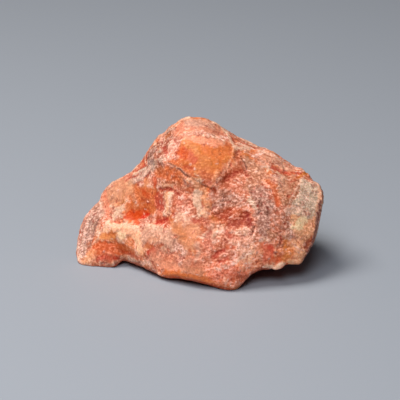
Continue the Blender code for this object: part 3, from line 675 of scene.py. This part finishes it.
singleGrains = (  # bright grains, frosted white grains and painted glints in one, and deep red ones: tone, amount, radius, places
    ("frost", 1, 0.16, (
        (2.7, 0), (4.2, 0.3), (4.5, 0.2), (3, -0.4), (3.7, -0.5), (7.2, 0.4), (5.4, 2.6), (5.9, 2.5),
        (7.2, 2), (10.8, 3.5), (11.2, 3.5), (3.2, -4.7), (2.2, -5.8), (1.8, -6.1), (5.1, -6.4), (5.6, -6.2),
        (4.5, -6.8), (3.6, -9.3), (4.2, -9.5), (4.8, -9), (5.9, -8.3), (6.3, -8.1), (6.8, -9.2),
        (2.5, -9.9), (3, -10.1), (4, -11.5), (3.7, -12.1), (5.2, -11.9), (8.7, -5.9), (9, -5.8),
        (12.4, -5.6), (11, -5.8), (-0.6, 10.2), (0.4, 9.9), (1.4, 9.2), (-2, 10.4), (-1.3, 5.2),
        (-0.9, 4.5), (-7.5, 2), (-10.2, -0.4), (-9.2, -0.4), (-8.5, 2.3), (-11.8, 1.4), (-5.8, -3.7),
        (-2.5, 0.6), (1, 0.1), (8.1, 4), (8.9, 4.9), (9.8, 5.8), (6.6, 6.9), (12, 5.8), (13.8, 4.2),
        (10.1, -3.2), (8.4, -2.3), (10.7, -4.2), (7.5, -5.5), (6.9, -6.5), (8.1, -7.5), (8.9, -8.1),
        (10.1, -8.4), (-14, -7.5), (-16.2, -4), (-16.4, -2.3), (-17, -5.2),
    )),
    ("oxblood", 0.85, 0.17, (
        (7.4, 3), (4.2, 3.5), (6.6, 4.2), (12.1, 4), (7.8, 1.7), (8.4, -0.9), (8.9, -1.9), (9.8, -3.2),
        (12, -6.6), (4, -6.1), (3.2, -6.2), (2.5, -8.9), (2.3, -7.5), (4.6, -11.4), (5.9, -11.2),
        (3.7, -5.8), (5.5, 1.9), (6.2, -0.1), (4.9, -1.2), (11, -1.7), (12.7, 0.6), (8.9, 2.3), (10.4, 1.4),
        (-2.3, -1.4), (-1.4, 0), (-4, -2), (-5.8, -1.4), (-7.6, -0.6), (-9.5, -1.7), (-6.9, 0.9), (1, 10.7),
        (2, 9.9), (-3.5, 10.4), (-4.2, 8.7), (-5.6, 8.4), (-6.3, 7.2), (-7.5, 3.5), (-8.9, 2),
        (-12.1, -0.3), (-13.6, -0.9), (-13.8, -8.4), (-10.1, -7.8), (-6.9, -8.9), (-2.3, -8.5), (0.7, -7.5),
        (1.7, -6.6), (1.3, -4.6), (8.1, -8.9), (8.9, -9.8), (11, -7.8), (13, -2.3), (12.1, -3.5),
        (14.4, -6.3),
    )),
)

brush = {
    "ground": "rosyBrown",
    "warps": ((1.6, 0.6, 81), (0.7, 0.55, 84), (0.3, 0.35, 87)),  # size, reach, seed: how ragged edges get
    "warpFrom": 0.55,  # smaller marks are warped less
    "flecks": (0.3, 1.6, 71),  # size, strength, seed: how an edge breaks up into grains
    "fleckShares": (0.06, 0.02),  # in the body's tones and in the veins
    # painted glow: faces turned down are coloured flame, standing in for red light that comes through the
    # stone
    "underside": ("flame", 0.75, 0.15, 0.6),  # tone, amount, from and to facing down
    "turnedAway": (-0.4, -0.1),  # marks fade on faces that look away from the camera
    "spacing": (0.08, 0.5),  # of points on a path: the least, and the share of the radius
    "softShare": 0.6,  # of the soft edge, in and out from the radius
    "grainWarp": 0.5,
    "grainEdge": (0.6, 1.6),  # radii between which a grain fades
    "strokes": (  # number, tone, amount, half width, length, seed
        (520, "frost", 0.9, 0.07, 0.35, 91),
        (160, "oxblood", 0.6, 0.1, 0.5, 92),
    ),
    "strokePlaces": (3, 0.02),  # power of the tone's grain, and the chance anywhere
    "strokeLengths": (0.6, 0.3),  # least share of the length, and what chance adds
    "strokeEdge": (0.5, 2),  # half widths
    "strokePoints": 5,
}


def layOn(coat, tone, share, where=slice(None)):
    coat[where] += (paint[tone][:coat.shape[1]] - coat[where]) * share[:, None]


def ragged(places):
    moved = np.zeros_like(places)
    for size, reach, seed in brush["warps"]:
        for axis in range(3):
            moved[:, axis] += (softNoise(places, size, seed + axis) - 0.5) * reach
    return moved


def nearMark(tree, places, warp, radius, soft, path):
    moved = places + warp * min(1, radius / brush["warpFrom"])
    least, part = brush["spacing"]
    half = soft * brush["softShare"]
    close, gap = nearPath(moved, onShowFace(tree, path, max(least, radius * part)), radius + half)
    return close, 1 - smoothStep(gap, radius - half, radius + half)


def addStrokes(coat, places, normals, count, tone, amount, halfWidth, length, seed):
    order = np.random.default_rng(seed)
    power, anywhere = brush["strokePlaces"]
    chance = coat[:, 3] ** power + anywhere
    picks = order.choice(pointCount, count, p=chance / chance.sum())
    least, more = brush["strokeLengths"]
    inner, outer = [halfWidth * part for part in brush["strokeEdge"]]
    steps = np.linspace(-0.5, 0.5, brush["strokePoints"])[:, None]
    for pick, roll in zip(picks, order.normal(size=(count, 4))):
        along = roll[:3] - normals[pick] * (roll[:3] @ normals[pick])
        along *= length * (least + more * abs(roll[3])) / np.linalg.norm(along)
        close, gap = nearPath(places, places[pick] + steps * along, outer)
        layOn(coat[:, :4], tone, amount * (1 - smoothStep(gap, inner, outer)), close)


def paintStone(places, normals):
    coat = np.tile(paint[brush["ground"]], (pointCount, 1))
    size, strength, seed = brush["flecks"]
    flecks = (roughNoise(places, size, seed, 2) - 0.5) * strength
    warp = ragged(places)
    onBody, onVeins = brush["fleckShares"]
    for tone, amount, size, low, high, seed in stoneBody:
        field = roughNoise(places + warp, size, seed)
        layOn(coat, tone, amount * smoothStep(field + flecks * onBody, low, high))
    for tone, amount, size, low, high, seed in stoneVeins:
        seam = 1 - np.abs(2 * roughNoise(places + warp, size, seed) - 1)
        layOn(coat, tone, amount * smoothStep(seam + flecks * onVeins, low, high))
    # painted glow on the faces turned down
    tone, amount, low, high = brush["underside"]
    layOn(coat, tone, amount * smoothStep(-normals[:, 2], low, high))
    tree = surfaceTree(places)
    facing = smoothStep(normals @ towardsEye, *brush["turnedAway"])
    for name, tone, amount, radius, soft, path in showFace:
        close, mask = nearMark(tree, places, warp, radius, soft, path)
        mask = (mask + flecks[close] * 4 * mask * (1 - mask)).clip(0, 1) * facing[close]
        layOn(coat, tone, amount * mask, close)
    # painted light and shade, and tone shifts, as broad factors on the colour
    for name, factors, radius, soft, path in paintedLightAndTone:
        close, mask = nearMark(tree, places, warp, radius, soft, path)
        coat[close, :3] *= 1 + (np.array(factors) - 1) * (mask * facing[close])[:, None]
    moved = places + warp * brush["grainWarp"]
    for tone, amount, radius, spots in singleGrains:
        inner, outer = [radius * part for part in brush["grainEdge"]]
        for spot in spots:
            close, gap = nearPath(moved, onShowFace(tree, [spot], 1), outer)
            layOn(coat, tone, amount * (1 - smoothStep(gap, inner, outer)) * facing[close], close)
    for strokes in brush["strokes"]:
        addStrokes(coat, places, normals, *strokes)
    return coat


normals = normalsAt(places)
coat = paintStone(places, normals)
print("stone painted")

# Sugary grain: small tilted crystal faces where the stone is frosted, low swells where it is clear

relief = {
    "crystals": ((0.9, 0.112, 101), (0.5, 0.096, 102)),  # size, height in millimetres, seed
    "swells": (1.6, 0.18, 111),
    "toneSteps": 0.7,  # share of the tones' own heights
    "stepRounds": 2,  # of evening out, so that no step is a cliff
    "normalRounds": 6,  # and for the directions that points are lifted in
    "clearShare": 0.2,  # how much of the crystals' height is left on clear stone
}

broad = averaged(normals, relief["normalRounds"])
broad /= np.linalg.norm(broad, axis=1)[:, None]
grainAmount = coat[:, 3]
size, height, seed = relief["swells"]
lift = (roughNoise(places, size, seed) - 0.5) * height
lift += averaged(coat[:, 4:5], relief["stepRounds"])[:, 0] * relief["toneSteps"]
keep = relief["clearShare"] + (1 - relief["clearShare"]) * grainAmount
for size, height, seed in relief["crystals"]:
    lift += grainFaces(places, size, seed) * height * keep
places += broad * lift[:, None] * offTable
places[:, 2] = places[:, 2].clip(0, None)
writePoints(places)
print("grain raised")

# Painted shade: hollows get deeper red. Raised points get pale frost, frosted broken edges with a painted
# highlight

hollowShadeAndEdgeLight = {
    "rounds": 4,  # of evening out, for the surface that they are measured from
    "hollowShade": ("oxblood", 0.2, 0.005, 0.08),  # tone, amount, from and to millimetres
    "edge": ("frost", 0.3, 0.01, 0.08),
}

raised = ((places - averaged(places, hollowShadeAndEdgeLight["rounds"])) * broad).sum(1)
# painted shade in the hollows, painted highlight with frost on the raised points
for rise, part in ((-raised, "hollowShade"), (raised, "edge")):
    tone, amount, low, high = hollowShadeAndEdgeLight[part]
    layOn(coat, tone, amount * smoothStep(rise, low, high))

tint = mesh.color_attributes.new("stoneColour", "FLOAT_COLOR", "POINT")
colours = np.hstack([coat[:, :3].clip(0, 1), np.ones((pointCount, 1))])
tint.data.foreach_set("color", colours.astype(np.float32).ravel())
grainLayer = mesh.attributes.new("grain", "FLOAT", "POINT")
grainLayer.data.foreach_set("value", grainAmount.astype(np.float32))

# The stone's material
# Triplite is a brown to salmon phosphate, glassy on clean cleavage and waxy where it is weathered.
# Light goes less than a millimetre into it, and the broken grains give small bright points.

tripliteLook = {
    "ior": 1.67,
    "shine": 0.14,  # broken grains hide most of the reflection
    "roughness": (0.42, 0.6),  # on clear and on frosted stone
    "sugar": ((0.42, 1), (0.22, 0.7)),  # millimetres across one grain face, strength
    "tilt": 0.4,  # how far the grain faces lean
    "clearShare": 0.16,  # how much of the grain is left on clear stone
    "flecks": (0.3, 1.5, 0.7),  # millimetres, detail and roughness of the cloudy noise
    "fleckRange": (0.3, 0.7, -0.85, 0.85),  # from where to where it counts, how deep and pale it goes
    "flakeTurns": ((0.3, 0.6, 0.9), (1.2, -0.5, 0.2)),  # the two cleavages
    "flakeScale": (2, 4.6, 4),  # flakes per millimetre
    "flakeFields": 1.3,  # millimetres across a grain that keeps to one of them
    "flakeChoice": (0.47, 0.53),  # where its noise goes over from the first to the second
    # painted sheen: flakes of the two cleavages are made paler in the colour itself
    "flakeShare": (0.62, 0.86),  # above the first number they begin to shine, above the second fully
    "clumps": 1.7,  # millimetres between the places where they crowd
    "clumpRange": (0.4, 0.6, 0.35, 1.3),  # from where to where it counts, its least and most
    "palerBy": (0.38, 0.28, 0.25, 1),  # added where a flake's painted sheen or a pale fleck is full, on frosted stone
    "warmerBy": (0.4, 0.15, 0.04, 1),  # and on clear stone
    "deeperBy": (0.64, 0.4, 0.28),  # and multiplied where the stone is fully deep
    "translucency": 0.12,
    "lightDepth": 0.6,  # millimetres that red light travels
    "lightByColour": (1, 0.4, 0.25),  # and its share for red, green and blue
}


def makeTriplite():
    look = tripliteLook
    material = bpy.data.materials.new("triplite, broken surface")
    material.use_nodes = True
    tree = material.node_tree
    tree.nodes.clear()

    def add(kind, links=None, **settings):
        return addNode(tree, "ShaderNode" + kind, links, **settings).outputs

    def numbers(operation, first, second):
        return add("Math", {0: first, 1: second}, operation=operation)[0]

    def vectors(operation, first, second, output=0):
        return add("VectorMath", {0: first, 1: second}, operation=operation)[output]

    def ranged(value, low=0, high=1, least=0, most=1):
        return add("MapRange", {
            "Value": value, "From Min": low, "From Max": high, "To Min": least, "To Max": most})[0]

    def cloud(size, detail=2, roughness=0.5):
        return add("TexNoise", {
            "Vector": place, "Scale": 1 / size, "Detail": detail, "Roughness": roughness})["Fac"]

    def mixed(share, first, second):
        return add("Mix", {0: share, 6: first, 7: second}, data_type="RGBA")[2]

    tint = add("Attribute", attribute_name="stoneColour")["Color"]
    grain = add("Attribute", attribute_name="grain")["Fac"]
    amount = ranged(grain, least=look["clearShare"])
    place = add("VectorMath", {0: add("TexCoord")["Object"], "Scale": 1 / toMetres}, operation="SCALE")[0]
    heights = []
    for size, share in look["sugar"]:
        cells = add("TexVoronoi", {"Vector": place, "Scale": 1 / size})
        away = vectors("SUBTRACT", place, cells["Position"])
        lean = vectors("SUBTRACT", cells["Color"], (0.5, 0.5, 0.5))
        heights.append(numbers("MULTIPLY", vectors("DOT_PRODUCT", away, lean, 1), share))
    height = numbers("MULTIPLY", numbers("ADD", *heights), amount)
    flakes = []
    for turn in look["flakeTurns"]:
        along = add("Mapping", {"Vector": place, "Rotation": turn, "Scale": look["flakeScale"]})[0]
        cells = add("TexVoronoi", {"Vector": along, "Scale": 1})
        flakes.append(add("SeparateColor", {0: cells["Color"]})[0])
    choice = ranged(cloud(look["flakeFields"]), *look["flakeChoice"])
    flake = add("Mix", {0: choice, 2: flakes[0], 3: flakes[1]})[0]
    crowd = ranged(cloud(look["clumps"]), *look["clumpRange"])
    # painted sheen on the cleavage flakes, where they crowd
    paintedSheen = numbers("MULTIPLY", ranged(flake, *look["flakeShare"]), crowd)
    change = numbers("ADD", paintedSheen, ranged(cloud(*look["flecks"]), *look["fleckRange"]))
    change = numbers("MULTIPLY", change, amount)  # above 0 the stone gets paler, below 0 deeper
    added = mixed(grain, look["warmerBy"], look["palerBy"])
    shade = mixed(ranged(change), tint, vectors("ADD", tint, added))
    shade = mixed(ranged(change, high=-1), shade, vectors("MULTIPLY", shade, look["deeperBy"]))
    shader = add("BsdfPrincipled", {
        "Base Color": shade,
        "Roughness": ranged(grain, 0, 1, *look["roughness"]),
        "Normal": add("Bump", {"Height": height, "Strength": look["tilt"], "Distance": toMetres})[0],
        "IOR": look["ior"],
        "Specular IOR Level": look["shine"],
        "Subsurface Weight": look["translucency"],
        "Subsurface Radius": look["lightByColour"],
        "Subsurface Scale": look["lightDepth"] * toMetres,
    })
    add("OutputMaterial", {"Surface": shader[0]})
    return material


mesh.materials.clear()
mesh.materials.append(makeTriplite())
mesh.transform(Matrix.Scale(toMetres, 4))
for face in mesh.polygons:
    face.use_smooth = True
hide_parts("triplite_stone")
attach(stone, "root")
print("stone finished")

# Table, lights and camera

table = {"wide": 3, "squares": 8, "colour": "#8f959e", "roughness": 0.7}


def makeTable():
    bm = bmesh.new()
    squares = table["squares"]
    bmesh.ops.create_grid(bm, x_segments=squares, y_segments=squares, size=table["wide"] / 2)
    sheet = bpy.data.meshes.new("table")
    bm.to_mesh(sheet)
    bm.free()
    material = bpy.data.materials.new("matt card, pale grey")
    material.use_nodes = True
    shader = material.node_tree.nodes["Principled BSDF"]
    shader.inputs["Base Color"].default_value = linearColour(table["colour"]) + [1]
    shader.inputs["Roughness"].default_value = table["roughness"]
    sheet.materials.append(material)
    top = newObject("table", sheet)


makeTable()

lamps = {  # place and width in metres, watts, hex colour
    "key": ((-0.14, -0.02, 0.33), 0.18, 1.5, "#fffaf4"),
    "fill": ((-0.05, -0.29, 0.33), 0.2, 1.15, "#fbfbff"),
}
lampAim = Vector((0, 0, 0.008))
for name, (place, wide, watts, code) in lamps.items():
    lamp = bpy.data.lights.new(name, "AREA")
    lamp.size = wide
    lamp.energy = watts
    lamp.color = linearColour(code)
    holder = newObject(name, lamp)
    holder.location = place
    holder.rotation_euler = (lampAim - Vector(place)).to_track_quat("-Z", "Y").to_euler()

room = {"colour": "#dfe6f0", "light": 0.05}
world = bpy.data.worlds.new("soft room")
world.use_nodes = True
around = world.node_tree.nodes["Background"]
around.inputs[0].default_value = linearColour(room["colour"]) + [1]
around.inputs[1].default_value = room["light"]
bpy.context.scene.world = world
bpy.context.scene.view_settings.view_transform = "Standard"

lens = bpy.data.cameras.new("camera")
lens.lens = camera["lens"]
lens.sensor_width = camera["sensor"]
lens.sensor_fit = "HORIZONTAL"
lens.clip_start = camera["nearest"]
view = newObject("camera", lens)
view.location = eye * toMetres
view.rotation_euler = Vector(-towardsEye).to_track_quat("-Z", "Y").to_euler()
bpy.context.scene.camera = view

print("scene ready")
